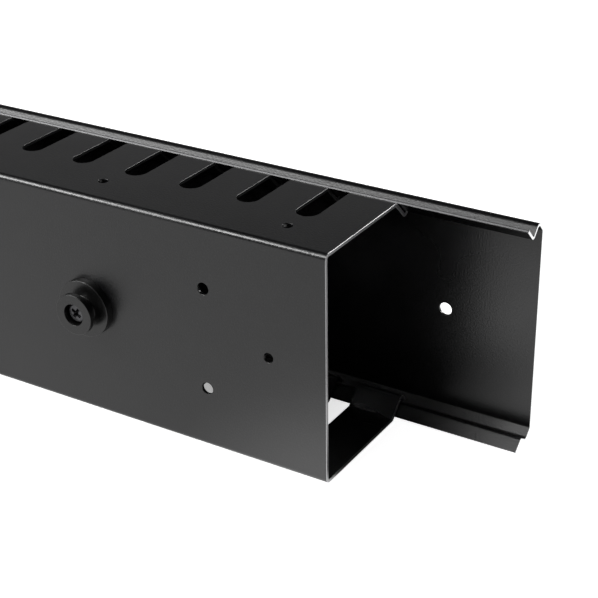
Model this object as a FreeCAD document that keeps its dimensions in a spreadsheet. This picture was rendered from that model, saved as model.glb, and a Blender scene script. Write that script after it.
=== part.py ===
import FreeCAD
import Part
import math
import os
import Sketcher

# Vertical cable manager: a slotted steel duct with a slide-on steel cover and two round
# mounting buttons on its back. X runs along the duct, Y from its back face towards the
# cover, and Z across its width. The origin is the middle of the back face.

doc = FreeCAD.newDocument("cable_manager")
sizes = doc.addObject("Spreadsheet::Sheet", "sizes")

driving_sizes = [
    ("unit_height", 44.45, "one rack unit"),
    ("unit_count", 12, "rack units that the duct spans"),
    ("end_gap", 1.2, "each end stops this short of its rack-unit line"),
    ("slots_per_unit", 2, "finger slots in one rack unit"),
    ("duct_width", 80.5, "outside, from flange to flange"),
    ("duct_sheet", 1.2, "steel of the duct"),
    ("duct_bend", 0.8, "inside radius of the folds beside its back"),
    ("slot_width", 8.0, "gap between two fingers"),
    ("slot_root", 21.2, "from the back face to the round end of a slot"),
    ("lip_return", 2.7, "rise of the lip past its groove"),
    ("cover_depth", 58.0, "from the back face to the outside of the cover"),
    ("cover_sheet", 1.0, "steel of the cover"),
    ("cover_bend", 0.6, "inside radius of its folds"),
    ("hem_side", 3.9, "sloping corner of the cover, each way"),
    ("hem_crest", 3.9, "outer side of the hem's groove, each way"),
    ("hem_groove", 4.0, "inner side of the hem's groove, each way"),
    ("hem_inset", 0.1, "hem's free edge inside the duct's width"),
    ("hem_clearance", 0.3, "running gap between hem and lip"),
    ("cover_travel", 44.2, "how far the cover is slid out"),
    ("cover_hole", 4.5, "diameter"),
    ("cover_hole_inset", 32.2, "from the cover's end"),
    ("pair_hole", 4.4, "diameter of the paired holes in the back"),
    ("pair_inset", 44.8, "from the duct's end"),
    ("pair_spacing", 36.2, "across the width"),
    ("small_hole", 3.7, "diameter of the single holes"),
    ("end_hole_inset", 20.9, "from the duct's end"),
    ("flange_hole_depth", 12.7, "from the back face"),
    ("button_inset", 92.0, "from the duct's end to a button's axis"),
    ("button_base", 20.2, "diameter of the foot"),
    ("button_base_height", 2.9, "thickness of the foot"),
    ("button_neck", 9.6, "diameter that a keyhole grips"),
    ("button_neck_length", 3.2, "gap that takes the rack's sheet"),
    ("button_head", 14.4, "diameter of the head"),
    ("button_head_height", 1.9, "thickness of the head"),
    ("button_edge", 0.35, "broken outer edges of the foot and head"),
    ("button_well", 7.7, "diameter of the well that sinks the screw"),
    ("button_well_depth", 4.0, "from the head's face to the screw's seat"),
    ("screw_shank", 4.0, "diameter"),
    ("screw_length", 10.0, "under the head"),
    ("screw_head", 7.0, "diameter"),
    ("screw_head_height", 2.6, "seat to top"),
    ("screw_play", 0.4, "clearance hole over the shank, on the diameter"),
    ("thread_play", 0.1, "nut over the shank, on the diameter"),
    ("recess_length", 4.6, "cross recess, tip to tip"),
    ("recess_width", 0.9, "one arm of the cross"),
    ("recess_depth", 1.5, "from the head's top"),
    ("washer_outer", 7.6, "diameter of the lock washer"),
    ("washer_thickness", 0.9, "along its axis"),
    ("washer_split", 0.8, "gap in the ring"),
    ("nut_flats", 7.0, "across flats"),
    ("nut_height", 3.2, "along its axis"),
]
for row, (alias, number, meaning) in enumerate(driving_sizes, start=1):
    sizes.set(f"A{row}", alias)
    sizes.set(f"B{row}", str(number))
    sizes.set(f"C{row}", meaning)
    sizes.setAlias(f"B{row}", alias)
doc.recompute()

# Places that several pieces share, as expressions of the sizes above.
duct_length = "(sizes.unit_height * sizes.unit_count - 2 * sizes.end_gap)"
half_length = f"({duct_length} / 2)"
half_width = "(sizes.duct_width / 2)"
slot_pitch = "(sizes.unit_height / sizes.slots_per_unit)"
slot_count = "(sizes.unit_count * sizes.slots_per_unit - 1)"
button_place = f"({half_length} - sizes.button_inset)"
button_height = "(sizes.button_base_height + sizes.button_neck_length + sizes.button_head_height)"
screw_seat = f"(sizes.button_well_depth - {button_height})"
screw_hole = "(sizes.screw_shank + sizes.screw_play)"

# The hem is a line of slopes at 45 degrees, so each run is also its rise. The lip's
# groove follows the hem's at the running gap, measured square to the slope.
hem_edge_out = f"({half_width} - sizes.hem_inset)"
hem_edge_depth = "(sizes.cover_depth - sizes.hem_side - sizes.hem_crest - sizes.hem_groove)"
groove_depth = f"({hem_edge_depth} + sizes.hem_groove)"
hem_groove_out = f"({hem_edge_out} - sizes.hem_groove)"
crest_depth = f"({groove_depth} + sizes.hem_crest)"
crest_out = f"({hem_groove_out} + sizes.hem_crest)"
corner_out = f"({crest_out} - sizes.hem_side)"
lip_groove_out = f"({hem_groove_out} - (sizes.cover_sheet + sizes.hem_clearance) * sqrt(2))"
lip_edge_depth = f"({groove_depth} - ({half_width} - {lip_groove_out}))"


def value(expression):
    return float(sizes.evalExpression(expression))


def vector(x, y):
    return FreeCAD.Vector(value(x), value(y), 0)


def origin_plane(body, role):
    for feature in body.Origin.OriginFeatures:
        if feature.Role == role:
            return feature
    raise RuntimeError(f"{body.Name} has no {role}")


def add_body(name):
    body = doc.addObject("PartDesign::Body", name)
    body.Label = name
    return body


def add_sketch(body, name, role):
    sketch = body.newObject("Sketcher::SketchObject", f"{body.Name}_{name}")
    sketch.AttachmentSupport = (origin_plane(body, role), [""])
    sketch.MapMode = "FlatFace"
    return sketch


def constrain(sketch, name, expression, kind, *place):
    """Adds a dimension that follows an expression of the sheet."""
    index = sketch.addConstraint(Sketcher.Constraint(kind, *place, value(expression)))
    sketch.renameConstraint(index, name)
    sketch.setExpression(f"Constraints.{name}", expression)


def locate(sketch, name, item, point, x, y):
    """Fixes a point of the sketch at two distances from its origin."""
    constrain(sketch, f"{name}_x", x, "DistanceX", -1, 1, item, point)
    constrain(sketch, f"{name}_y", y, "DistanceY", -1, 1, item, point)


def add_outline(sketch, name, corners):
    """Draws a closed outline of straight lines through corners given as expressions."""
    points = [vector(x, y) for x, y in corners]
    lines = []
    for start, end in zip(points, points[1:] + points[:1]):
        lines.append(sketch.addGeometry(Part.LineSegment(start, end), False))
    for line, following in zip(lines, lines[1:] + lines[:1]):
        sketch.addConstraint(Sketcher.Constraint("Coincident", line, 2, following, 1))
    for number, (line, corner) in enumerate(zip(lines, corners)):
        locate(sketch, f"{name}{number}", line, 1, *corner)


def add_circle(sketch, name, x, y, diameter):
    circle = Part.Circle(vector(x, y), FreeCAD.Vector(0, 0, 1), value(diameter) / 2)
    item = sketch.addGeometry(circle, False)
    locate(sketch, name, item, 3, x, y)
    constrain(sketch, f"{name}_size", diameter, "Diameter", item)


def cut(body, name, sketch, both_ways, depth=None):
    """Pockets a sketch into the body and makes sure that steel went away."""
    before = body.Shape.Volume
    pocket = body.newObject("PartDesign::Pocket", f"{body.Name}_{name}")
    pocket.Profile = sketch
    pocket.SideType = "Symmetric" if both_ways else "One side"
    if depth is None:
        pocket.Type = "ThroughAll"
    else:
        pocket.Type = "Length"
        pocket.setExpression("Length", depth)
    doc.recompute()
    if not body.Shape.Volume < before:
        raise RuntimeError(f"{pocket.Name} cuts nothing")
    return pocket


def revolve(body, sketch):
    turned = body.newObject("PartDesign::Revolution", f"{body.Name}_turned")
    turned.Profile = sketch
    turned.ReferenceAxis = (sketch, ["V_Axis"])
    turned.Angle = 360
    doc.recompute()
    return turned


def chosen_edges(shape, test):
    return [f"Edge{number}" for number, edge in enumerate(shape.Edges, start=1) if test(edge)]


def is_rim(edge, radius, y):
    """True for a full circle about the Y axis with this radius at this height."""
    curve = edge.Curve
    if not isinstance(curve, Part.Circle):
        return False
    return abs(curve.Radius - radius) < 1e-4 and abs(curve.Center.y - y) < 1e-4


def folded_section(name, corners, folds):
    """Outer line of a sheet-metal section with its folds, drawn with the inside on its left.

    corners are the meeting points of the outer line, as expressions of Y and Z. folds holds
    the outer line's radius at each corner between the first and last, or None if it is sharp.
    """
    sketch = doc.addObject("Sketcher::SketchObject", f"{name}_outer_line")
    sketch.Placement = FreeCAD.Placement(FreeCAD.Vector(), FreeCAD.Rotation(FreeCAD.Vector(1, 1, 1), 120))
    points = [vector(y, z) for y, z in corners]
    guides = []
    for start, end in zip(points, points[1:]):
        guides.append(sketch.addGeometry(Part.LineSegment(start, end), True))
    for guide, following in zip(guides, guides[1:]):
        sketch.addConstraint(Sketcher.Constraint("Coincident", guide, 2, following, 1))
    for number, corner in enumerate(corners[:-1]):
        locate(sketch, f"corner{number}", guides[number], 1, *corner)
    locate(sketch, f"corner{len(corners) - 1}", guides[-1], 2, *corners[-1])

    flats = []
    arcs = []
    start = points[0]
    for corner, before, after, fold in zip(points[1:-1], points, points[2:], folds):
        arriving = (corner - before).normalize()
        leaving = (after - corner).normalize()
        half_turn = arriving.getAngle(leaving) / 2
        radius = value(fold) if fold else 0
        first = corner - arriving * radius * math.tan(half_turn)
        last = corner + leaving * radius * math.tan(half_turn)
        inward = (leaving - arriving).normalize()
        middle = corner + inward * radius * (1 / math.cos(half_turn) - 1)
        flats.append(sketch.addGeometry(Part.LineSegment(start, first), False))
        arcs.append(sketch.addGeometry(Part.Arc(first, middle, last), False) if fold else None)
        start = last
    flats.append(sketch.addGeometry(Part.LineSegment(start, points[-1]), False))

    sketch.addConstraint(Sketcher.Constraint("Coincident", flats[0], 1, guides[0], 1))
    sketch.addConstraint(Sketcher.Constraint("Coincident", flats[-1], 2, guides[-1], 2))
    for number, (arc, fold) in enumerate(zip(arcs, folds)):
        if arc is None:
            sketch.addConstraint(Sketcher.Constraint("Coincident", flats[number], 2, guides[number], 2))
            sketch.addConstraint(Sketcher.Constraint("Coincident", flats[number + 1], 1, guides[number], 2))
            continue
        turns_left = (points[number + 1] - points[number]).cross(points[number + 2] - points[number + 1]).z > 0
        begin, end = (1, 2) if turns_left else (2, 1)
        sketch.addConstraint(Sketcher.Constraint("PointOnObject", flats[number], 2, guides[number]))
        sketch.addConstraint(Sketcher.Constraint("PointOnObject", flats[number + 1], 1, guides[number + 1]))
        sketch.addConstraint(Sketcher.Constraint("Tangent", flats[number], 2, arc, begin))
        sketch.addConstraint(Sketcher.Constraint("Tangent", arc, end, flats[number + 1], 1))
        constrain(sketch, f"fold{number}", fold, "Radius", arc)
    return sketch


def folded_sheet(name, corners, folds, thickness):
    """Straight folded sheet along the whole length, centred on the origin."""
    section = doc.addObject("Part::Offset2D", f"{name}_section")
    section.Source = folded_section(name, corners, folds)
    section.Mode = "Skin"
    section.Join = "Intersection"
    section.Fill = True
    section.setExpression("Value", f"-{thickness}")
    sheet = doc.addObject("Part::Extrusion", f"{name}_sheet")
    sheet.Base = section
    sheet.DirMode = "Custom"
    sheet.Dir = FreeCAD.Vector(1, 0, 0)
    sheet.Symmetric = True
    sheet.Solid = True
    sheet.setExpression("LengthFwd", duct_length)
    body = add_body(name)
    body.BaseFeature = sheet
    doc.recompute()
    return body


def mirrored(corners):
    """Adds the lower half of a section that is alike above and below."""
    return corners + [(y, f"-{z}") for y, z in reversed(corners)]


def cut_slots(duct):
    """Finger slots: open at the lip, round at the root, through both flanges at once."""
    sketch = add_sketch(duct, "slot_line", "XY_Plane")
    middle_x = f"(-({slot_count} - 1) / 2 * {slot_pitch})"
    root_y = "(sizes.slot_root + sizes.slot_width / 2)"
    centre = vector(middle_x, root_y)
    radius = value("sizes.slot_width / 2")
    left = centre.x - radius
    right = centre.x + radius
    mouth = value("sizes.cover_depth")
    circle = Part.Circle(centre, FreeCAD.Vector(0, 0, 1), radius)
    root = sketch.addGeometry(Part.ArcOfCircle(circle, math.pi, 2 * math.pi), False)
    corners = [(right, centre.y), (right, mouth), (left, mouth), (left, centre.y)]
    points = [FreeCAD.Vector(x, y, 0) for x, y in corners]
    sides = []
    for start, end in zip(points, points[1:]):
        sides.append(sketch.addGeometry(Part.LineSegment(start, end), False))
    sketch.addConstraint(Sketcher.Constraint("Tangent", root, 2, sides[0], 1))
    sketch.addConstraint(Sketcher.Constraint("Coincident", sides[0], 2, sides[1], 1))
    sketch.addConstraint(Sketcher.Constraint("Coincident", sides[1], 2, sides[2], 1))
    sketch.addConstraint(Sketcher.Constraint("Tangent", sides[2], 2, root, 1))
    sketch.addConstraint(Sketcher.Constraint("Horizontal", sides[1]))
    sketch.addConstraint(Sketcher.Constraint("Vertical", sides[0]))
    locate(sketch, "root", root, 3, middle_x, root_y)
    constrain(sketch, "root_radius", "sizes.slot_width / 2", "Radius", root)
    constrain(sketch, "mouth", "sizes.cover_depth", "DistanceY", -1, 1, sides[0], 2)
    slot = cut(duct, "slot", sketch, both_ways=True)

    before = duct.Shape.Volume
    row = duct.newObject("PartDesign::LinearPattern", "duct_slot_row")
    row.Originals = [slot]
    row.Direction = (sketch, ["H_Axis"])
    row.setExpression("Occurrences", slot_count)
    row.setExpression("Length", f"({slot_count} - 1) * {slot_pitch}")
    duct.Tip = row
    doc.recompute()
    if not duct.Shape.Volume < before:
        raise RuntimeError("the row of slots cuts nothing")


def make_duct():
    upper = [
        (f"({groove_depth} + sizes.lip_return)", f"({lip_groove_out} + sizes.lip_return)"),
        (groove_depth, lip_groove_out),
        (lip_edge_depth, half_width),
        ("0", half_width),
    ]
    back_fold = "(sizes.duct_bend + sizes.duct_sheet)"
    folds = [None, None, back_fold, back_fold, None, None]
    duct = folded_sheet("duct", mirrored(upper), folds, "sizes.duct_sheet")
    cut_slots(duct)

    flange_holes = add_sketch(duct, "flange_hole_circles", "XY_Plane")
    back_holes = add_sketch(duct, "back_hole_circles", "XZ_Plane")
    for end, side in (("near", ""), ("far", "-")):
        end_hole_x = f"{side}({half_length} - sizes.end_hole_inset)"
        button_x = f"{side}{button_place}"
        pair_x = f"{side}({half_length} - sizes.pair_inset)"
        add_circle(flange_holes, f"{end}_outer", end_hole_x, "sizes.flange_hole_depth", "sizes.small_hole")
        add_circle(flange_holes, f"{end}_inner", button_x, "sizes.flange_hole_depth", "sizes.small_hole")
        add_circle(back_holes, f"{end}_single", end_hole_x, "0", "sizes.small_hole")
        add_circle(back_holes, f"{end}_upper", pair_x, "sizes.pair_spacing / 2", "sizes.pair_hole")
        add_circle(back_holes, f"{end}_lower", pair_x, "-sizes.pair_spacing / 2", "sizes.pair_hole")
        add_circle(back_holes, f"{end}_button", button_x, "0", screw_hole)
    cut(duct, "flange_holes", flange_holes, both_ways=True)
    cut(duct, "back_holes", back_holes, both_ways=False, depth="2 * sizes.duct_sheet")
    return duct


def make_cover():
    upper = [
        (hem_edge_depth, hem_edge_out),
        (groove_depth, hem_groove_out),
        (crest_depth, crest_out),
        ("sizes.cover_depth", corner_out),
    ]
    inner_fold = "sizes.cover_bend"
    outer_fold = "(sizes.cover_bend + sizes.cover_sheet)"
    folds = [inner_fold, outer_fold, outer_fold, outer_fold, outer_fold, inner_fold]
    cover = folded_sheet("cover", mirrored(upper)[::-1], folds, "sizes.cover_sheet")
    holes = add_sketch(cover, "hole_circles", "XZ_Plane")
    hole_x = f"({half_length} - sizes.cover_hole_inset)"
    add_circle(holes, "near", hole_x, "0", "sizes.cover_hole")
    add_circle(holes, "far", f"-{hole_x}", "0", "sizes.cover_hole")
    cut(cover, "holes", holes, both_ways=False)
    cover.setExpression(".Placement.Base.x", "sizes.cover_travel")
    return cover


def make_button(end, side):
    """Turned button: a foot on the back face, a neck for a keyhole and a sunk screw."""
    button = add_body(f"mounting_button_{end}")
    section = add_sketch(button, "half_section", "XY_Plane")
    bore = f"({screw_hole} / 2)"
    foot_top = "(-sizes.button_base_height)"
    head_under = "(-sizes.button_base_height - sizes.button_neck_length)"
    head_face = f"(-{button_height})"
    add_outline(section, "corner", [
        (bore, "0"),
        ("sizes.button_base / 2", "0"),
        ("sizes.button_base / 2", foot_top),
        ("sizes.button_neck / 2", foot_top),
        ("sizes.button_neck / 2", head_under),
        ("sizes.button_head / 2", head_under),
        ("sizes.button_head / 2", head_face),
        ("sizes.button_well / 2", head_face),
        ("sizes.button_well / 2", screw_seat),
        (bore, screw_seat),
    ])
    turned = revolve(button, section)
    rims = [("sizes.button_base / 2", foot_top), ("sizes.button_head / 2", head_face)]
    places = [(value(radius), value(y)) for radius, y in rims]
    edges = chosen_edges(turned.Shape, lambda edge: any(is_rim(edge, radius, y) for radius, y in places))
    broken = button.newObject("PartDesign::Chamfer", f"{button.Name}_edges")
    broken.Base = (turned, edges)
    broken.setExpression("Size", "sizes.button_edge")
    button.setExpression(".Placement.Base.x", f"{side}{button_place}")
    return button


def make_screw(end, side):
    """Machine screw with a low head and a cross recess. Y = 0 is under the head."""
    screw = add_body(f"button_screw_{end}")
    section = add_sketch(screw, "half_section", "XY_Plane")
    head_top = "(-sizes.screw_head_height)"
    add_outline(section, "corner", [
        ("0", head_top),
        ("sizes.screw_head / 2", head_top),
        ("sizes.screw_head / 2", "0"),
        ("sizes.screw_shank / 2", "0"),
        ("sizes.screw_shank / 2", "sizes.screw_length"),
        ("0", "sizes.screw_length"),
    ])
    revolve(screw, section)

    cross = add_sketch(screw, "recess_line", "XZ_Plane")
    cross.setExpression(".AttachmentOffset.Base.z", "sizes.screw_head_height")
    reach = "(sizes.recess_length / 2)"
    arm = "(sizes.recess_width / 2)"
    add_outline(cross, "corner", [
        (reach, f"-{arm}"), (reach, arm), (arm, arm), (arm, reach),
        (f"-{arm}", reach), (f"-{arm}", arm), (f"-{reach}", arm), (f"-{reach}", f"-{arm}"),
        (f"-{arm}", f"-{arm}"), (f"-{arm}", f"-{reach}"), (arm, f"-{reach}"), (arm, f"-{arm}"),
    ])
    cut(screw, "recess", cross, both_ways=False, depth="sizes.recess_depth")
    screw.setExpression(".Placement.Base.x", f"{side}{button_place}")
    screw.setExpression(".Placement.Base.y", screw_seat)
    return screw


def make_lock_washer(end, side):
    """Split ring between the inside of the back and the nut."""
    washer = add_body(f"lock_washer_{end}")
    rings = add_sketch(washer, "ring_circles", "XZ_Plane")
    add_circle(rings, "outer", "0", "0", "sizes.washer_outer")
    add_circle(rings, "bore", "0", "0", screw_hole)
    ring = washer.newObject("PartDesign::Pad", f"{washer.Name}_ring")
    ring.Profile = rings
    ring.Reversed = True
    ring.setExpression("Length", "sizes.washer_thickness")
    doc.recompute()
    split = add_sketch(washer, "split_line", "XZ_Plane")
    half_split = "(sizes.washer_split / 2)"
    add_outline(split, "corner", [
        (f"-{half_split}", "0"), (half_split, "0"),
        (half_split, "sizes.washer_outer"), (f"-{half_split}", "sizes.washer_outer"),
    ])
    cut(washer, "split", split, both_ways=False)
    washer.setExpression(".Placement.Base.x", f"{side}{button_place}")
    washer.setExpression(".Placement.Base.y", "sizes.duct_sheet")
    return washer


def make_nut(end, side):
    """Hexagon nut on the end of the screw."""
    nut = add_body(f"hex_nut_{end}")
    hexagon = add_sketch(nut, "hexagon_line", "XZ_Plane")
    corner = "(sizes.nut_flats / sqrt(3))"
    flat = "(sizes.nut_flats / 2)"
    add_outline(hexagon, "corner", [
        (corner, "0"), (f"{corner} / 2", flat), (f"-{corner} / 2", flat),
        (f"-{corner}", "0"), (f"-{corner} / 2", f"-{flat}"), (f"{corner} / 2", f"-{flat}"),
    ])
    block = nut.newObject("PartDesign::Pad", f"{nut.Name}_block")
    block.Profile = hexagon
    block.Reversed = True
    block.setExpression("Length", "sizes.nut_height")
    doc.recompute()
    bore = add_sketch(nut, "bore_circle", "XZ_Plane")
    add_circle(bore, "bore", "0", "0", "sizes.screw_shank + sizes.thread_play")
    cut(nut, "bore", bore, both_ways=False)

    nut.setExpression(".Placement.Base.x", f"{side}{button_place}")
    nut.setExpression(".Placement.Base.y", "sizes.duct_sheet + sizes.washer_thickness")
    return nut


pieces = [make_duct(), make_cover()]
for end, side in (("near", ""), ("far", "-")):
    pieces.append(make_button(end, side))
    pieces.append(make_screw(end, side))
    pieces.append(make_lock_washer(end, side))
    pieces.append(make_nut(end, side))
doc.recompute()

for item in doc.Objects:
    if "Invalid" in item.State or "Error" in item.State:
        raise RuntimeError(f"{item.Name} failed: {item.State}")
for piece in pieces:
    if piece.Shape.isNull() or not piece.Shape.isValid():
        raise RuntimeError(f"{piece.Label} has no valid shape")

os.makedirs("parts", exist_ok=True)
for piece in pieces:
    piece.Shape.exportStep(f"parts/{piece.Label}.step")
    box = piece.Shape.BoundBox
    print(piece.Label, len(piece.Shape.Solids), "solid,", round(piece.Shape.Volume), "mm3,",
          [round(number, 2) for number in (box.XMin, box.XMax, box.YMin, box.YMax, box.ZMin, box.ZMax)])
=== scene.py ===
import bpy
import bmesh
import math
from mathutils import Matrix, Quaternion, Vector


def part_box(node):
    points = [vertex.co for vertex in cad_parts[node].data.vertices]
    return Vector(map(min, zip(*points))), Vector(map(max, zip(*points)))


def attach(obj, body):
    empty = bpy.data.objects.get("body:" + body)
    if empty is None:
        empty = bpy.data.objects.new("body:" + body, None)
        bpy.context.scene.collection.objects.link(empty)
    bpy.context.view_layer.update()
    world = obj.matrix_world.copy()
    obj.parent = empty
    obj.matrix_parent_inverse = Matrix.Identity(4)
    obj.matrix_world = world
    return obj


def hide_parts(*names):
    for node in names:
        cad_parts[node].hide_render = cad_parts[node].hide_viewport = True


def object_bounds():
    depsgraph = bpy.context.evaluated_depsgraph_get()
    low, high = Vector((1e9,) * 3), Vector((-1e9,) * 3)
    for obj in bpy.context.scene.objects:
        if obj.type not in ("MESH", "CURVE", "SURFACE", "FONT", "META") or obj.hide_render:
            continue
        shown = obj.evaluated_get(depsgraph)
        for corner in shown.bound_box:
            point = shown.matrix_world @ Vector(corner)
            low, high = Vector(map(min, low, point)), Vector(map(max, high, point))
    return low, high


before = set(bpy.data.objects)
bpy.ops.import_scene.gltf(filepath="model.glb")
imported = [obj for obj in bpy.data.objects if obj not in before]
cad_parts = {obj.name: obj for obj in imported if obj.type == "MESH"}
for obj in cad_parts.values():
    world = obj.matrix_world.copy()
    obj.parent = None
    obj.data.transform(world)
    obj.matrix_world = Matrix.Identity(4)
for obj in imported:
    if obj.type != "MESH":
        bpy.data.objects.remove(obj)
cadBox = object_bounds()
mm = 0.001
tiny = 0.001 * mm

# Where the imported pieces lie. X runs along the duct, Y from its back to the cover, Z is up.
ductLow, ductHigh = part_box("duct")
coverLow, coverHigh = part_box("cover")
ends = ("near", "far")
buttonX = {}
for end in ends:
    low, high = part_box(f"mounting_button_{end}")
    buttonX[end] = (low.x + high.x) / 2
print("frame loaded")


def linear(hexColour):
    channels = [int(hexColour[i:i + 2], 16) / 255 for i in (1, 3, 5)]
    return [c / 12.92 if c <= 0.04045 else ((c + 0.055) / 1.055) ** 2.4 for c in channels] + [1]


def addNode(tree, kind, inputs=None, **settings):
    node = tree.nodes.new(kind)
    for name, value in settings.items():
        setattr(node, name, value)
    for name, value in (inputs or {}).items():
        if isinstance(value, bpy.types.NodeSocket):
            tree.links.new(value, node.inputs[name])
        else:
            node.inputs[name].default_value = value
    return node


# Polyester powder, sprayed and baked on degreased steel. It flows out to a satin black skin with
# a fine pebble, which breaks up every reflection, and pulls thin on edges. The real pebble is
# 0.3 mm across, too fine for the picture, so it is drawn at 0.6 mm.
powderCoat = {
    "base": "#050506",
    "thin": "#09090a",
    "roughness": 0.31,
    "roughnessSwing": 0.05,
    "pebble": 0.6 * mm,
    "pebbleHeight": 0.045 * mm,
    "speckle": "#131314",
    "flow": 9 * mm,
    "cloud": 60 * mm,
}

# Turned steel with the same black coat, a little duller, as small parts are coated in a drum.
# Its pebble is drawn coarse for the picture too.
blackButton = {
    "base": "#030303",
    "thin": "#060606",
    "roughness": 0.31,
    "roughnessSwing": 0.06,
    "pebble": 0.7 * mm,
    "pebbleHeight": 0.03 * mm,
    "speckle": "#090909",
    "flow": 5 * mm,
    "cloud": 20 * mm,
}

# The duct's sheared ends. The powder pulls thin there, so grey steel grins through it, and the grey
# is drawn light to stand in for the bright highlight on the ends: partly a painted highlight.
thinCoatAndHighlightEdge = {"base": "#aaaaab", "dark": "#858586", "metallic": 0.9, "roughness": 0.35, "stripe": 0.3 * mm}

# The cover's ends, sawn to length after coating: bright bare steel with fine saw marks, drawn
# near white to stand in for the bright highlight on the ends: partly a painted highlight.
sawnEdgeAndHighlight = {"base": "#eceded", "dark": "#cfd0d1", "metallic": 1.0, "roughness": 0.30, "stripe": 0.3 * mm}

# The long sheared edge of the cover's hem, coated but thin, drawn lighter than the coat so that
# its edge line shines more: partly a painted highlight.
hemEdge = {"base": "#59595a", "dark": "#404041", "metallic": 0.6, "roughness": 0.38, "stripe": 0.5 * mm}

# Black oxide on a steel screw: thin, slightly oily, with a soft metal sheen.
blackOxide = {"base": "#4c4c4e", "metallic": 0.7, "roughness": 0.34, "grain": 0.5 * mm}

# Bright zinc plate on the lock washer and nut: pale, faintly blue, with cloudy passivation.
brightZinc = {"base": "#c3c7cb", "metallic": 1.0, "roughness": 0.3, "grain": 0.8 * mm}

# Levels of the noise between which each pattern rises from nothing to all.
rise = {"thin": (0.35, 0.75), "gloss": (0.2, 0.8), "speckle": (0.45, 0.8), "grain": (0.3, 0.7)}


def newMaterial(name):
    material = bpy.data.materials.new(name)
    material.use_nodes = True
    tree = material.node_tree
    tree.nodes.clear()
    shader = addNode(tree, "ShaderNodeBsdfPrincipled")
    addNode(tree, "ShaderNodeOutputMaterial", {"Surface": shader.outputs["BSDF"]})
    return material, tree, shader


def coatMaterial(name, coat):
    material, tree, shader = newMaterial(name)
    place = addNode(tree, "ShaderNodeTexCoord").outputs["Object"]
    pebble, flow, cloud = [
        addNode(tree, "ShaderNodeTexNoise", {"Vector": place, "Scale": 1 / coat[size], "Detail": detail})
        for size, detail in (("pebble", 1.0), ("flow", 2.0), ("cloud", 2.0))]
    thin = addNode(tree, "ShaderNodeMapRange", {
        "Value": flow.outputs["Fac"], "From Min": rise["thin"][0], "From Max": rise["thin"][1]})
    skin = addNode(tree, "ShaderNodeMix", {
        0: thin.outputs["Result"], 6: linear(coat["base"]), 7: linear(coat["thin"])}, data_type="RGBA")
    gloss = addNode(tree, "ShaderNodeMapRange", {
        "Value": cloud.outputs["Fac"], "From Min": rise["gloss"][0], "From Max": rise["gloss"][1],
        "To Min": coat["roughness"] - coat["roughnessSwing"],
        "To Max": coat["roughness"] + coat["roughnessSwing"]}, interpolation_type="SMOOTHSTEP")
    bump = addNode(tree, "ShaderNodeBump", {
        "Height": pebble.outputs["Fac"], "Distance": coat["pebbleHeight"], "Strength": 1.0})
    crests = addNode(tree, "ShaderNodeMapRange", {
        "Value": pebble.outputs["Fac"], "From Min": rise["speckle"][0], "From Max": rise["speckle"][1]})
    speckled = addNode(tree, "ShaderNodeMix", {
        0: crests.outputs["Result"], 6: skin.outputs[2], 7: linear(coat["speckle"])}, data_type="RGBA")
    tree.links.new(speckled.outputs[2], shader.inputs["Base Color"])
    tree.links.new(gloss.outputs["Result"], shader.inputs["Roughness"])
    tree.links.new(bump.outputs["Normal"], shader.inputs["Normal"])
    return material


def edgeMaterial(name, edge):
    stripeHeight = 0.01 * mm
    material, tree, shader = newMaterial(name)
    place = addNode(tree, "ShaderNodeTexCoord").outputs["Object"]
    stripe = addNode(tree, "ShaderNodeTexNoise", {"Vector": place, "Scale": 1 / edge["stripe"], "Detail": 1.0})
    colour = addNode(tree, "ShaderNodeMix", {
        0: stripe.outputs["Fac"], 6: linear(edge["dark"]), 7: linear(edge["base"])}, data_type="RGBA")
    bump = addNode(tree, "ShaderNodeBump", {
        "Height": stripe.outputs["Fac"], "Distance": stripeHeight, "Strength": 1.0})
    shader.inputs["Metallic"].default_value = edge["metallic"]
    shader.inputs["Roughness"].default_value = edge["roughness"]
    tree.links.new(colour.outputs[2], shader.inputs["Base Color"])
    tree.links.new(bump.outputs["Normal"], shader.inputs["Normal"])
    return material


def metalMaterial(name, metal):
    roughnessSwing = 0.06
    grainHeight = 0.004 * mm
    material, tree, shader = newMaterial(name)
    place = addNode(tree, "ShaderNodeTexCoord").outputs["Object"]
    grain = addNode(tree, "ShaderNodeTexNoise", {"Vector": place, "Scale": 1 / metal["grain"], "Detail": 3.0})
    gloss = addNode(tree, "ShaderNodeMapRange", {
        "Value": grain.outputs["Fac"], "From Min": rise["grain"][0], "From Max": rise["grain"][1],
        "To Min": metal["roughness"] - roughnessSwing, "To Max": metal["roughness"] + roughnessSwing})
    bump = addNode(tree, "ShaderNodeBump", {
        "Height": grain.outputs["Fac"], "Distance": grainHeight, "Strength": 1.0})
    shader.inputs["Base Color"].default_value = linear(metal["base"])
    shader.inputs["Metallic"].default_value = metal["metallic"]
    tree.links.new(gloss.outputs["Result"], shader.inputs["Roughness"])
    tree.links.new(bump.outputs["Normal"], shader.inputs["Normal"])
    return material


coatBlack = coatMaterial("satinBlackPowderCoat", powderCoat)
# Light grey duct ends: partly a painted highlight.
thinEdgeAndHighlight = edgeMaterial("thinlyCoatedShearedEdgeAndPaintedHighlight", thinCoatAndHighlightEdge)
# Near-white cover ends: partly a painted highlight.
bareEdgeAndHighlight = edgeMaterial("bareSawnSteelAndPaintedHighlight", sawnEdgeAndHighlight)
# Lighter hem edge: partly a painted highlight.
hemSteelAndHighlight = edgeMaterial("thinlyCoatedHemEdgeAndPaintedHighlight", hemEdge)
buttonBlack = coatMaterial("drumCoatedSteel", blackButton)
screwBlack = metalMaterial("blackOxideSteel", blackOxide)
zinc = metalMaterial("brightZincPlate", brightZinc)
print("materials made")


# How finely round forms are drawn, and which edges count as sharp.
foldSteps = 8
rimSteps = 4
bevelSegments = 3
sharpAngle = math.radians(35)
creaseAngle = math.radians(45)


def leftOf(direction):
    return Vector((-direction.y, direction.x))


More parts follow.
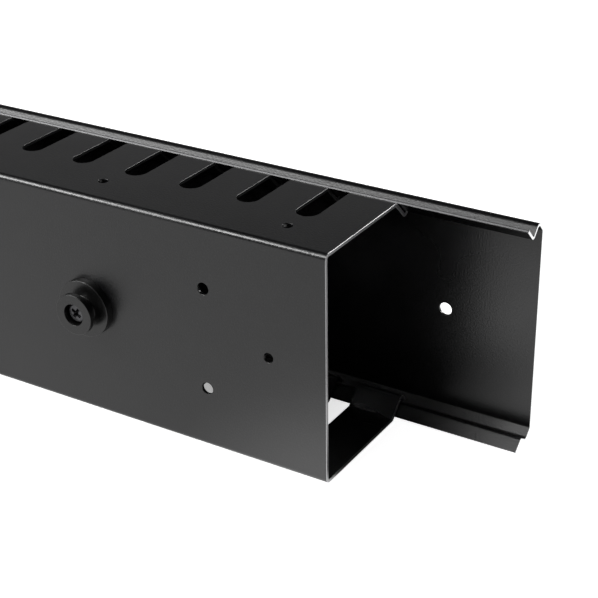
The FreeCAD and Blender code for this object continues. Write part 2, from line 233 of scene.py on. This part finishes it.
def roundedLine(corners, radii, steps):
    # Points of an open line with round corners, each with its direction of travel.
    points = [Vector(corner) for corner in corners]
    line = [(points[0], (points[1] - points[0]).normalized())]
    for before, corner, after, radius in zip(points, points[1:], points[2:], radii):
        arriving = (corner - before).normalized()
        leaving = (after - corner).normalized()
        cross = arriving.x * leaving.y - arriving.y * leaving.x
        turn = math.atan2(cross, arriving.dot(leaving))
        side = math.copysign(1, turn)
        centre = corner - arriving * radius * math.tan(abs(turn) / 2) + leftOf(arriving) * radius * side
        for step in range(steps + 1):
            direction = Matrix.Rotation(turn * step / steps, 2) @ arriving
            line.append((centre - leftOf(direction) * radius * side, direction))
    line.append((points[-1], (points[-1] - points[-2]).normalized()))
    return line


def roundedOutline(corners, radii, steps=5):
    # A closed outline with round corners, from a line that starts and ends between two corners.
    start = (Vector(corners[0]) + Vector(corners[-1])) / 2
    line = roundedLine([start] + corners + [start], radii, steps)
    return [tuple(point) for point, direction in line[:-1]]


def newPiece(name, mesh, materials):
    piece = bpy.data.objects.new(name, mesh)
    bpy.context.scene.collection.objects.link(piece)
    for material in materials:
        piece.data.materials.append(material)
    return piece


def pieceFrom(bm, name, materials):
    bmesh.ops.recalc_face_normals(bm, faces=bm.faces)
    mesh = bpy.data.meshes.new(name)
    bm.to_mesh(mesh)
    bm.free()
    return newPiece(name, mesh, materials)


def foldedSheet(name, line, thickness, edgeRound, xLow, xHigh, materials):
    # Extrudes a sheet-metal section along X, its long edges rounded over by the shear and the coat.
    # The ends, cut across, take the second material, and the long edges the third if there is one.
    rim = []
    for step in range(rimSteps + 1):
        angle = math.pi / 2 * (1 - step / rimSteps)
        rim.append((edgeRound * (1 - math.sin(angle)), edgeRound * (1 - math.cos(angle))))
    firstPoint, firstWay = line[0]
    lastPoint, lastWay = line[-1]
    stations = [(firstPoint + firstWay * back, firstWay, inset) for back, inset in rim]
    stations += [(point, direction, 0) for point, direction in line[1:-1]]
    stations += [(lastPoint - lastWay * back, lastWay, inset) for back, inset in reversed(rim)]
    outer = [point + leftOf(direction) * inset for point, direction, inset in stations]
    inner = [point + leftOf(direction) * (thickness - inset) for point, direction, inset in stations]
    ring = outer + inner[::-1]
    count = len(ring)
    bm = bmesh.new()
    rings = [[bm.verts.new((x, point.x, point.y)) for point in ring] for x in (xLow, xHigh)]
    for number in range(count):
        following = (number + 1) % count
        side = bm.faces.new((rings[0][number], rings[0][following], rings[1][following], rings[1][number]))
        if number in (len(outer) - 1, count - 1) and len(materials) > 2:
            side.material_index = 2
    for capRing in rings:
        for number in range(len(outer) - 1):
            cap = bm.faces.new((capRing[number], capRing[number + 1],
                                capRing[count - 2 - number], capRing[count - 1 - number]))
            cap.material_index = 1
    return pieceFrom(bm, name, materials)


def addPrism(bm, outline, low, high, place):
    # A closed prism on an outline. place turns its flat coordinates and height into a point.
    rings = [[bm.verts.new(place(u, v, height)) for u, v in outline] for height in (low, high)]
    count = len(outline)
    bm.faces.new(rings[0])
    bm.faces.new(rings[1][::-1])
    for number in range(count):
        following = (number + 1) % count
        bm.faces.new((rings[0][number], rings[1][number], rings[1][following], rings[0][following]))


def circle(u, v, radius, steps=32):
    angles = [2 * math.pi * step / steps for step in range(steps)]
    return [(u + radius * math.cos(angle), v + radius * math.sin(angle)) for angle in angles]


def alongZ(u, v, height):
    return (u, v, height)


def alongY(u, v, height):
    return (u, height, v)


def lathe(bm, outline, x, steps=96):
    # Turns a closed outline of (radius, y) about the Y axis through x. Radius 0 closes on the axis.
    rings = []
    for radius, y in outline:
        if radius < tiny:
            rings.append([bm.verts.new((x, y, 0))] * steps)
        else:
            rings.append([bm.verts.new((u, y, v)) for u, v in circle(x, 0, radius, steps)])
    for ring, following in zip(rings, rings[1:] + rings[:1]):
        for step in range(steps):
            after = (step + 1) % steps
            corners = []
            for vertex in (ring[step], ring[after], following[after], following[step]):
                if vertex not in corners:
                    corners.append(vertex)
            if len(corners) > 2:
                bm.faces.new(corners)


def applied(piece):
    # Replaces the piece's mesh by the one that its modifiers make.
    graph = bpy.context.evaluated_depsgraph_get()
    mesh = bpy.data.meshes.new_from_object(piece.evaluated_get(graph))
    piece.modifiers.clear()
    piece.data = mesh


def combine(piece, bm, operation):
    cutter = pieceFrom(bm, "cutter", piece.data.materials)
    boolean = piece.modifiers.new("cut", "BOOLEAN")
    boolean.operation = operation
    boolean.solver = "EXACT"
    boolean.object = cutter
    applied(piece)
    bpy.data.objects.remove(cutter)


def bevelEdges(piece, width):
    # Breaks every sharp edge a little, so that it catches the light.
    bevel = piece.modifiers.new("brokenEdges", "BEVEL")
    bevel.width = width
    bevel.segments = bevelSegments
    bevel.limit_method = "ANGLE"
    bevel.angle_limit = sharpAngle
    bevel.use_clamp_overlap = False
    applied(piece)


def bevelEnds(piece, width, materialIndex):
    # Breaks the sharp edges of the two ends, cut across X, by themselves.
    bm = bmesh.new()
    bm.from_mesh(piece.data)
    along = [vertex.co.x for vertex in bm.verts]
    planes = (min(along), max(along))
    sharp = [edge for edge in bm.edges if edge.calc_face_angle(0) > sharpAngle
             and any(all(abs(vertex.co.x - x) < tiny for vertex in edge.verts) for x in planes)]
    bmesh.ops.bevel(bm, geom=sharp, offset=width, segments=bevelSegments, profile=0.5, affect="EDGES",
                    clamp_overlap=False, material=materialIndex)
    bm.to_mesh(piece.data)
    bm.free()


def smoothShade(piece):
    # Shades round parts smooth and keeps flat faces flat.
    piece.data.shade_smooth()
    piece.data.set_sharp_from_angle(angle=creaseAngle)
    normals = piece.modifiers.new("flatFaces", "WEIGHTED_NORMAL")
    normals.keep_sharp = True
    applied(piece)


duct = {
    "sheet": 1.2 * mm,
    "backFold": 2.0 * mm,
    "tipFold": 1.9 * mm,
    "grooveFold": 0.7 * mm,
    "lipEdge": 44.26 * mm,
    "lipGroove": (50.2 * mm, 34.31 * mm),
    "lipReturn": 2.7 * mm,
    "slotWidth": 8.0 * mm,
    "slotPitch": 22.225 * mm,
    "slotCount": 23,
    "slotRoot": 21.2 * mm,
    "edgeRound": 0.4 * mm,
    "endEdge": 0.16 * mm,
    "punchedEdge": 0.18 * mm,
    "smallHole": 3.5 * mm,
    "pairHole": 4.2 * mm,
    "screwHole": 4.4 * mm,
    "endInset": 20.9 * mm,
    "pairInset": 44.8 * mm,
    "pairSpacing": 36.2 * mm,
    "flangeHoleDepth": 12.7 * mm,
}


def mirrored(corners):
    return corners + [(y, -z) for y, z in reversed(corners)]


def slotOutline(x, mouth, steps=24):
    # A slot with a round root, open at its mouth.
    radius = duct["slotWidth"] / 2
    rootY = duct["slotRoot"] + radius
    angles = [math.pi * step / steps for step in range(steps + 1)]
    root = [(x + radius * math.cos(angle), rootY - radius * math.sin(angle)) for angle in angles]
    return root + [(x - radius, mouth), (x + radius, mouth)]


def makeDuct():
    halfWidth = ductHigh.z
    grooveY, grooveZ = duct["lipGroove"]
    upper = [
        (grooveY + duct["lipReturn"], grooveZ + duct["lipReturn"]),
        (grooveY, grooveZ),
        (duct["lipEdge"], halfWidth),
        (0, halfWidth),
    ]
    folds = [duct["grooveFold"], duct["tipFold"], duct["backFold"]]
    line = roundedLine(mirrored(upper), folds + folds[::-1], foldSteps)
    # The ends take the light grey edge material, partly a painted highlight.
    piece = foldedSheet("ductBody", line, duct["sheet"], duct["edgeRound"],
                        ductLow.x, ductHigh.x, [coatBlack, thinEdgeAndHighlight])

    cuts = bmesh.new()
    past = 3 * mm
    for number in range(duct["slotCount"]):
        x = (number - (duct["slotCount"] - 1) / 2) * duct["slotPitch"]
        addPrism(cuts, slotOutline(x, ductHigh.y + past), -halfWidth - past, halfWidth + past, alongZ)
    for side in (-1, 1):
        endX = side * (ductHigh.x - duct["endInset"])
        pairX = side * (ductHigh.x - duct["pairInset"])
        screwX = side * buttonX["near"]
        for x in (endX, screwX):
            outline = circle(x, duct["flangeHoleDepth"], duct["smallHole"] / 2)
            addPrism(cuts, outline, -halfWidth - past, halfWidth + past, alongZ)
        for x, z, size in ((endX, 0, "smallHole"), (pairX, duct["pairSpacing"] / 2, "pairHole"),
                           (pairX, -duct["pairSpacing"] / 2, "pairHole"), (screwX, 0, "screwHole")):
            addPrism(cuts, circle(x, z, duct[size] / 2), -past, past, alongY)
    combine(piece, cuts, "DIFFERENCE")
    bevelEnds(piece, duct["endEdge"], materialIndex=1)
    bevelEdges(piece, duct["punchedEdge"])
    smoothShade(piece)
    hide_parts("duct")
    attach(piece, "duct")
    print("duct made")


# The lower hem is pressed a little shallower than the upper one.
cover = {
    "sheet": 1.0 * mm,
    "outerFold": 1.6 * mm,
    "crestFold": 2.3 * mm,
    "grooveFold": 0.6 * mm,
    "hemEdge": (46.2 * mm, 40.14 * mm),
    "groove": (50.2 * mm, 36.15 * mm),
    "crest": (54.1 * mm, 40.3 * mm),
    "lowerHemEdge": (46.6 * mm, 40.11 * mm),
    "lowerGroove": (50.1 * mm, 37.3 * mm),
    "lowerCrest": (54.1 * mm, 39.9 * mm),
    "lowerGrooveFold": 0.2 * mm,
    "cornerOut": 36.15 * mm,
    "hole": 4.5 * mm,
    "holeInset": 32.2 * mm,
    "edgeRound": 0.25 * mm,
    "brokenEdge": 0.15 * mm,
}


def makeCover():
    corner = (coverHigh.y, cover["cornerOut"])
    upper = [cover["hemEdge"], cover["groove"], cover["crest"], corner]
    lower = [cover["lowerHemEdge"], cover["lowerGroove"], cover["lowerCrest"], corner]
    folds = [cover["grooveFold"], cover["crestFold"], cover["outerFold"]]
    corners = [(y, -z) for y, z in lower] + upper[::-1]
    line = roundedLine(corners, [cover["lowerGrooveFold"]] + folds[1:] + folds[::-1], foldSteps)
    # The ends and the hem's long edges take edge materials drawn light, partly painted highlights.
    piece = foldedSheet("coverBody", line, cover["sheet"], cover["edgeRound"],
                        coverLow.x, coverHigh.x, [coatBlack, bareEdgeAndHighlight, hemSteelAndHighlight])
    cuts = bmesh.new()
    for x in (coverLow.x + cover["holeInset"], coverHigh.x - cover["holeInset"]):
        addPrism(cuts, circle(x, 0, cover["hole"] / 2), coverLow.y, coverHigh.y + mm, alongY)
    combine(piece, cuts, "DIFFERENCE")
    bevelEdges(piece, cover["brokenEdge"])
    smoothShade(piece)
    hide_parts("cover")
    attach(piece, "cover")
    print("cover made")


button = {
    "foot": 20.2 * mm,
    "footHeight": 2.9 * mm,
    "neck": 9.6 * mm,
    "neckLength": 3.2 * mm,
    "head": 14.4 * mm,
    "well": 7.7 * mm,
    "wellDepth": 4.0 * mm,
    "bore": 4.4 * mm,
    "outerEdge": 0.18 * mm,
    "innerEdge": 0.1 * mm,
    "underEdge": 0.03 * mm,
}


def makeButton(end):
    low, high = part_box(f"mounting_button_{end}")
    footTop = high.y - button["footHeight"]
    headUnder = footTop - button["neckLength"]
    seat = low.y + button["wellDepth"]
    outer, inner = button["outerEdge"], button["innerEdge"]
    corners = [
        (button["bore"] / 2, high.y), (button["foot"] / 2, high.y), (button["foot"] / 2, footTop),
        (button["neck"] / 2, footTop), (button["neck"] / 2, headUnder), (button["head"] / 2, headUnder),
        (button["head"] / 2, low.y), (button["well"] / 2, low.y), (button["well"] / 2, seat),
        (button["bore"] / 2, seat),
    ]
    radii = [inner, inner, outer, inner, inner, button["underEdge"], outer, inner, inner, inner]
    bm = bmesh.new()
    lathe(bm, roundedOutline(corners, radii), buttonX[end])
    piece = pieceFrom(bm, f"mountingButton_{end}", [buttonBlack])
    smoothShade(piece)
    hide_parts(f"mounting_button_{end}")
    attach(piece, "duct")


screw = {
    "head": 7.0 * mm,
    "headHeight": 2.6 * mm,
    "headEdge": 0.9 * mm,
    "crown": 0.25 * mm,
    "seatEdge": 0.1 * mm,
    "tipEdge": 0.3 * mm,
    "brokenEdge": 0.06 * mm,
    "shank": 4.0 * mm,
    "threadDepth": 0.32 * mm,
    "threadFrom": 0.2 * mm,
    "pitch": 0.7 * mm,
    "recess": 4.4 * mm,
    "recessArm": 1.35 * mm,
    "recessDepth": 2.0 * mm,
    "recessTaper": 0.7,
    "recessTurn": -33,
}


def addThread(bm, x, low, high, core, depth, pitch, steps=48, rowsPerTurn=8):
    # A turned-down core with a single thread around it, running out at the tip.
    rows = round((high - low) / pitch * rowsPerTurn)
    rings = []
    for row in range(rows + 1):
        y = low + (high - low) * row / rows
        crest = depth * min(1, (high - y) / pitch)
        ring = []
        for step in range(steps):
            angle = 2 * math.pi * step / steps
            phase = (y / pitch - step / steps) % 1
            radius = core + crest * (1 - abs(2 * phase - 1))
            ring.append(bm.verts.new((x + radius * math.cos(angle), y, radius * math.sin(angle))))
        rings.append(ring)
    for ring, following in zip(rings, rings[1:]):
        for step in range(steps):
            after = (step + 1) % steps
            bm.faces.new((ring[step], ring[after], following[after], following[step]))
    bm.faces.new(rings[0])
    bm.faces.new(rings[-1][::-1])


def makeScrew(end):
    low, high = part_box(f"button_screw_{end}")
    x = buttonX[end]
    seat = low.y + screw["headHeight"]
    core = screw["shank"] / 2 - screw["threadDepth"]
    coreEnd = screw["threadFrom"] + mm
    corners = [(0, low.y), (screw["head"] / 2, low.y + screw["crown"]), (screw["head"] / 2, seat),
               (core, seat), (core, coreEnd), (0, coreEnd)]
    radii = [screw["headEdge"], screw["seatEdge"], screw["seatEdge"], screw["tipEdge"]]
    outline = roundedLine(corners, radii, steps=6)
    bm = bmesh.new()
    lathe(bm, [tuple(point) for point, direction in outline], x)
    piece = pieceFrom(bm, f"buttonScrew_{end}", [screwBlack])

    reach, arm = screw["recess"] / 2, screw["recessArm"] / 2
    cross = [(reach, -arm), (reach, arm), (arm, arm), (arm, reach), (-arm, reach), (-arm, arm),
             (-reach, arm), (-reach, -arm), (-arm, -arm), (-arm, -reach), (arm, -reach), (arm, -arm)]
    top = low.y - 0.5 * mm
    bottom = low.y + screw["recessDepth"]
    turn = math.radians(screw["recessTurn"])

    def tapered(u, v, height):
        share = (height - top) / (bottom - top)
        scale = 1 - (1 - screw["recessTaper"]) * share
        across = u * math.cos(turn) - v * math.sin(turn)
        upward = u * math.sin(turn) + v * math.cos(turn)
        return (x + across * scale, height, upward * scale)

    recess = bmesh.new()
    addPrism(recess, cross, top, bottom, tapered)
    combine(piece, recess, "DIFFERENCE")
    bevelEdges(piece, screw["brokenEdge"])
    bm = bmesh.new()
    bm.from_mesh(piece.data)
    addThread(bm, x, screw["threadFrom"], high.y, core, screw["threadDepth"], screw["pitch"])
    bmesh.ops.recalc_face_normals(bm, faces=bm.faces)
    bm.to_mesh(piece.data)
    bm.free()
    smoothShade(piece)
    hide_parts(f"button_screw_{end}")
    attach(piece, "duct")


washer = {
    "outer": 7.6 * mm,
    "inner": 4.4 * mm,
    "edge": 0.1 * mm,
    "split": 0.8 * mm,
    "splitSlant": 0.25 * mm,
    "splitFrom": 0.5 * mm,
}


def makeWasher(end):
    low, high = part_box(f"lock_washer_{end}")
    x = buttonX[end]
    corners = [(washer["inner"] / 2, high.y), (washer["outer"] / 2, high.y),
               (washer["outer"] / 2, low.y), (washer["inner"] / 2, low.y)]
    bm = bmesh.new()
    lathe(bm, roundedOutline(corners, [washer["edge"]] * 4), x)
    piece = pieceFrom(bm, f"lockWasher_{end}", [zinc])
    half, slant = washer["split"] / 2, washer["splitSlant"]
    outline = [(x - half - slant, low.y - slant), (x + half - slant, low.y - slant),
               (x + half + slant, high.y + slant), (x - half + slant, high.y + slant)]
    cuts = bmesh.new()
    addPrism(cuts, outline, washer["splitFrom"], washer["outer"], alongZ)
    combine(piece, cuts, "DIFFERENCE")
    smoothShade(piece)
    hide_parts(f"lock_washer_{end}")
    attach(piece, "duct")


nut = {
    "flats": 7.0 * mm,
    "bore": 4.1 * mm,
    "boreEdge": 0.25 * mm,
    "faceCircle": 6.7 * mm,
    "chamfer": 0.4 * mm,
}


def makeNut(end):
    # A hexagon bar, turned down at both faces and bored.
    low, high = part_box(f"hex_nut_{end}")
    x = buttonX[end]
    corner = nut["flats"] / math.sqrt(3)
    bm = bmesh.new()
    addPrism(bm, circle(x, 0, corner, steps=6), low.y, high.y, alongY)
    piece = pieceFrom(bm, f"hexNut_{end}", [zinc])
    past = 0.02 * mm
    bore, face, wide = nut["bore"] / 2, nut["faceCircle"] / 2, corner + past
    turned = bmesh.new()
    lathe(turned, [
        (bore, high.y - nut["boreEdge"]), (bore + nut["boreEdge"], high.y), (face, high.y),
        (wide, high.y - nut["chamfer"]), (wide, low.y + nut["chamfer"]), (face, low.y),
        (bore + nut["boreEdge"], low.y), (bore, low.y + nut["boreEdge"]),
    ], x)
    combine(piece, turned, "INTERSECT")
    smoothShade(piece)
    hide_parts(f"hex_nut_{end}")
    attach(piece, "duct")


for end in ends:
    makeButton(end)
    makeScrew(end)
    makeWasher(end)
    makeNut(end)
print("hardware made")
makeDuct()
makeCover()


# The picture's camera: where it stands, the way it looks, how far it leans, and its lens.
camera = {
    "place": (ductHigh.x + 203.19 * mm, -341.93 * mm, 230.36 * mm),
    "look": (-0.46957, 0.75554, -0.4568),
    "lean": -0.88,
    "lens": 90.67,
    "sensor": 36,
}


def makeCamera():
    data = bpy.data.cameras.new("camera")
    data.sensor_width = camera["sensor"]
    data.lens = camera["lens"]
    eye = bpy.data.objects.new("camera", data)
    bpy.context.scene.collection.objects.link(eye)
    turn = Vector(camera["look"]).to_track_quat("-Z", "Y")
    turn = turn @ Quaternion((0, 0, 1), math.radians(camera["lean"]))
    eye.matrix_world = Matrix.Translation(camera["place"]) @ turn.to_matrix().to_4x4()
    bpy.context.scene.camera = eye


# Lengths and places in metres. The floor's glow is what the camera sees, and its shine is what
# shiny surfaces see. A pair gives the two ends of a fade.
studio = {
    "floor": "#ececec",
    "floorRoughness": 0.9,
    "floorSize": 6.0,
    "floorGlow": 0.9,
    # Painted shadow: the floor's glow drops to this under the duct and behind it.
    "paintedShadowGlow": 0.4,
    "floorShine": 1.1,
    # Painted light and shadow in the shine: none under the duct, this much past its end and behind it.
    "beyondShine": 1.4,
    "frontFade": (-0.002, 0.008),
    "shadowFade": 0.065,
    "shadowLength": 0.25,
    "shineGap": 0.004,
    "shadowEdge": 0.034,
    "shineBehind": 0.03,
    # Painted pool of light in the shine at the near end.
    "paintedPoolShine": 2.2,
    "poolPlace": (0.268, -0.01, -0.04),
    "poolSize": 0.07,
    "ambient": 0.15,
    "backdrop": 1.0,
    "horizonShine": 0.6,
    "sweepWay": (-0.5, 0.85, 0),
    "sweepFade": (-0.1, 0.6),
    "darkAbove": 0.56,
    "lampAim": 0.7,
}

# Soft boxes, in metres: where each stands, the way its long side runs, its size and its power.
# The strip draws the bright line along the fold, the box above it lights the cover's hem, the one
# over the near end reaches the lower hem, and the one at the back catches the ends of the sheets.
lamps = {
    "strip": {
        "place": (-0.37, -0.48, 0.565), "along": (-0.94, 0.265, -0.22), "size": (0.7, 0.2), "power": 10.0},
    "above": {
        "place": (-0.44, -0.345, 0.69), "along": (-0.94, 0.2, -0.27), "size": (0.9, 0.2), "power": 3.1},
    "over": {
        "place": (0.16, -0.30, 0.72), "along": (-0.94, 0.2, 0), "size": (0.3, 0.3), "power": 1.1},
    "back": {
        "place": (0.80, 0.90, 0.50), "along": (0.77, -0.64, 0), "size": (0.5, 0.4), "power": 11.0},
}


def makeFloor():
    half = studio["floorSize"] / 2
    z = cadBox[0].z
    mesh = bpy.data.meshes.new("floor")
    corners = [(-half, -half, z), (half, -half, z), (half, half, z), (-half, half, z)]
    mesh.from_pydata(corners, [], [(0, 1, 2, 3)])
    material, tree, shader = newMaterial("paleFloor")
    shader.inputs["Base Color"].default_value = linear(studio["floor"])
    shader.inputs["Roughness"].default_value = studio["floorRoughness"]
    shader.inputs["Specular IOR Level"].default_value = 0.0
    rays = addNode(tree, "ShaderNodeLightPath")
    seen = addNode(tree, "ShaderNodeMath", {
        0: rays.outputs["Is Camera Ray"], 1: rays.outputs["Is Transmission Ray"]}, operation="MAXIMUM")
    # The floor glows by itself, dimmed under the duct and behind it: a painted shadow. Shiny
    # parts see a painted pool of light at the near end, and nothing under the duct, a painted shadow.
    place = addNode(tree, "ShaderNodeTexCoord").outputs["Object"]
    axes = addNode(tree, "ShaderNodeSeparateXYZ", {"Vector": place})
    along = addNode(tree, "ShaderNodeMath", {0: axes.outputs["X"]}, operation="ABSOLUTE").outputs[0]
    front, under = studio["frontFade"]
    before = addNode(tree, "ShaderNodeMapRange", {
        "Value": axes.outputs["Y"], "From Min": front, "From Max": under, "To Min": 1.0, "To Max": 0.0})

    def clearOf(xLow, xHigh, behind):
        # The mask of a painted shadow: 0 under the duct and 1 past its ends and behind it.
        past = addNode(tree, "ShaderNodeMapRange", {"Value": along, "From Min": xLow, "From Max": xHigh})
        back = addNode(tree, "ShaderNodeMapRange", {
            "Value": axes.outputs["Y"], "From Min": coverHigh.y, "From Max": coverHigh.y + behind})
        return addNode(tree, "ShaderNodeMath", {
            0: past.outputs["Result"], 1: back.outputs["Result"]}, operation="MAXIMUM").outputs[0]

    # Painted shadow: the camera glow is dimmed under the duct and behind it.
    unshaded = clearOf(ductHigh.x - studio["shadowFade"], ductHigh.x, studio["shadowLength"])
    clear = addNode(tree, "ShaderNodeMath", {0: unshaded, 1: before.outputs["Result"]}, operation="MAXIMUM")
    glow = addNode(tree, "ShaderNodeMapRange", {
        "Value": clear.outputs[0], "To Min": studio["paintedShadowGlow"], "To Max": studio["floorGlow"]})
    # Painted shadow in what shiny parts see: no shine under the duct, more past its end.
    outside = clearOf(ductHigh.x + studio["shineGap"], ductHigh.x + studio["shadowEdge"], studio["shineBehind"])
    beyond = addNode(tree, "ShaderNodeMath", {0: outside, 1: studio["beyondShine"]}, operation="MULTIPLY")
    # Painted pool of light at the near end, seen by shiny parts.
    away = addNode(tree, "ShaderNodeVectorMath", {0: place, 1: studio["poolPlace"]}, operation="DISTANCE")
    pool = addNode(tree, "ShaderNodeMapRange", {
        "Value": away.outputs["Value"], "From Max": studio["poolSize"],
        "To Min": studio["paintedPoolShine"], "To Max": studio["floorShine"]}, interpolation_type="SMOOTHSTEP")
    shine = addNode(tree, "ShaderNodeMix", {
        0: before.outputs["Result"], 2: beyond.outputs[0], 3: pool.outputs["Result"]})
    glowing = addNode(tree, "ShaderNodeMath", {
        0: glow.outputs["Result"], 1: seen.outputs[0]}, operation="MULTIPLY")
    emission = addNode(tree, "ShaderNodeEmission", {"Strength": glowing.outputs[0]})
    both = addNode(tree, "ShaderNodeAddShader", {0: shader.outputs["BSDF"], 1: emission.outputs["Emission"]})
    shown = addNode(tree, "ShaderNodeEmission", {"Strength": shine.outputs[0]})
    mix = addNode(tree, "ShaderNodeMixShader", {
        0: rays.outputs["Is Glossy Ray"], 1: both.outputs["Shader"], 2: shown.outputs["Emission"]})
    tree.links.new(mix.outputs["Shader"], tree.get_output_node("ALL").inputs["Surface"])
    newPiece("floor", mesh, [material])


def makeWorld():
    world = bpy.data.worlds.new("studio")
    bpy.context.scene.world = world
    world.use_nodes = True
    tree = world.node_tree
    tree.nodes.clear()
    # Shiny parts see a white sweep behind the duct that fades to a dark ceiling and a dark room.
    rays = addNode(tree, "ShaderNodeLightPath")
    way = addNode(tree, "ShaderNodeTexCoord").outputs["Generated"]
    height = addNode(tree, "ShaderNodeSeparateXYZ", {"Vector": way}).outputs["Z"]
    horizon = addNode(tree, "ShaderNodeMapRange", {
        "Value": height, "From Max": studio["darkAbove"], "To Min": studio["horizonShine"], "To Max": 0.0})
    side = addNode(tree, "ShaderNodeVectorMath", {0: way, 1: studio["sweepWay"]}, operation="DOT_PRODUCT")
    dark, bright = studio["sweepFade"]
    lit = addNode(tree, "ShaderNodeMapRange", {
        "Value": side.outputs["Value"], "From Min": dark, "From Max": bright})
    sweep = addNode(tree, "ShaderNodeMath", {
        0: horizon.outputs["Result"], 1: lit.outputs["Result"]}, operation="MULTIPLY")
    shine = addNode(tree, "ShaderNodeMix", {
        0: rays.outputs["Is Glossy Ray"], 2: studio["ambient"], 3: sweep.outputs[0]})
    seen = addNode(tree, "ShaderNodeMath", {
        0: rays.outputs["Is Camera Ray"], 1: rays.outputs["Is Transmission Ray"]}, operation="MAXIMUM")
    strength = addNode(tree, "ShaderNodeMapRange", {
        "Value": seen.outputs[0], "To Min": shine.outputs[0], "To Max": studio["backdrop"]})
    background = addNode(tree, "ShaderNodeBackground", {
        "Color": (1, 1, 1, 1), "Strength": strength.outputs["Result"]})
    addNode(tree, "ShaderNodeOutputWorld", {"Surface": background.outputs["Background"]})


def makeLamps():
    # Every lamp faces a point on the axis, this share of the way to the duct's end.
    target = Vector((studio["lampAim"] * ductHigh.x, 0, 0))
    for name, lamp in lamps.items():
        data = bpy.data.lights.new(name, "AREA")
        data.shape = "RECTANGLE"
        data.size, data.size_y = lamp["size"]
        data.energy = lamp["power"]
        box = bpy.data.objects.new(name, data)
        bpy.context.scene.collection.objects.link(box)
        back = (Vector(lamp["place"]) - target).normalized()
        long = Vector(lamp["along"])
        long = (long - back * long.dot(back)).normalized()
        turn = Matrix((long, back.cross(long), back)).transposed().to_4x4()
        box.matrix_world = Matrix.Translation(lamp["place"]) @ turn


makeFloor()
makeWorld()
makeLamps()
makeCamera()
bpy.context.scene.view_settings.view_transform = "Standard"
print("stage set")
